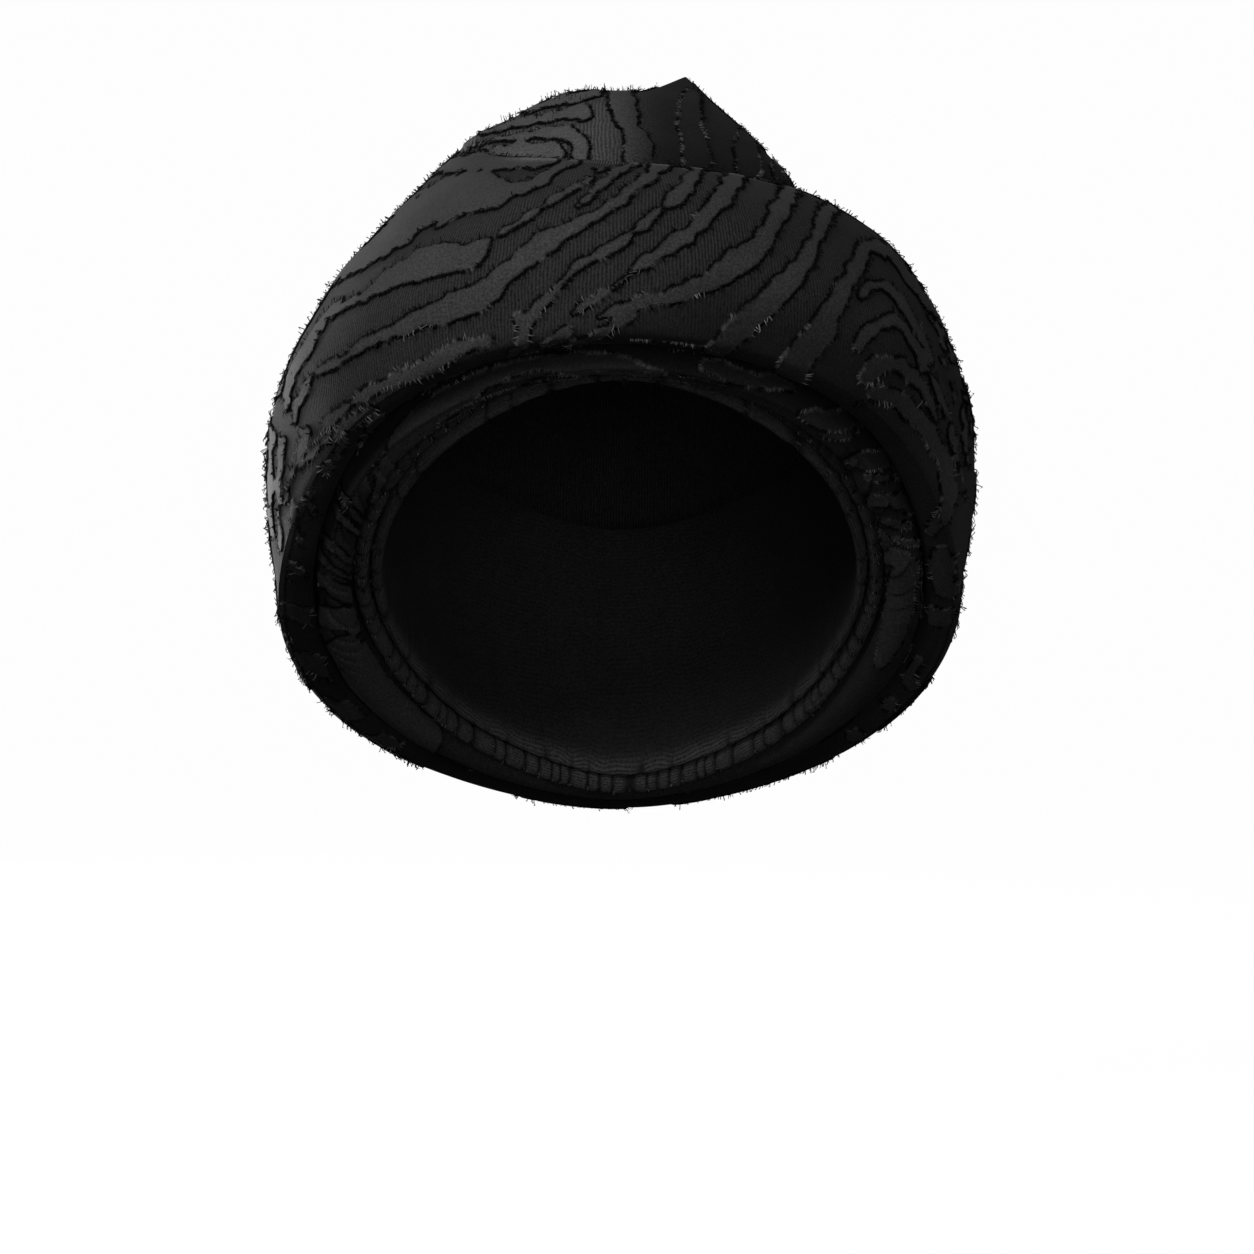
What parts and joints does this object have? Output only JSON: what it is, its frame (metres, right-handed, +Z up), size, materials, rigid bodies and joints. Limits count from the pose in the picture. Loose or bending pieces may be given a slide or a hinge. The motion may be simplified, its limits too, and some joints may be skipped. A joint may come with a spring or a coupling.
{
  "type": "draped head wrap",
  "caption": "Soft draped head wrap of folded black cloth turns with a peaked crown, held on by the head that fills its open hollow.",
  "frame": {"origin": "middle of the head opening, level with the hem at the wearer's ears", "axes": "+Z up, -Y to the front of the face, +X to the right as seen from the front"},
  "size_m": [0.2307, 0.2627, 0.2473],
  "materials": {
    "hem_cloth": "matt black cloth with a frayed hem",
    "roll_cloth": "matt black gathered cloth",
    "under_cloth": "black jacquard cloth, smooth and ribbed bands",
    "outer_cloth": "black jacquard cloth, smooth and ribbed bands with clipped threads",
    "crown_cloth": "black jacquard cloth, smooth and ribbed bands with clipped threads"
  },
  "bodies": {
    "root": {"hem_band": "hem_cloth", "gathered_roll": "roll_cloth", "under_turn": "under_cloth", "outer_turn": "outer_cloth", "crown": "crown_cloth"}
  },
  "joints": []
}
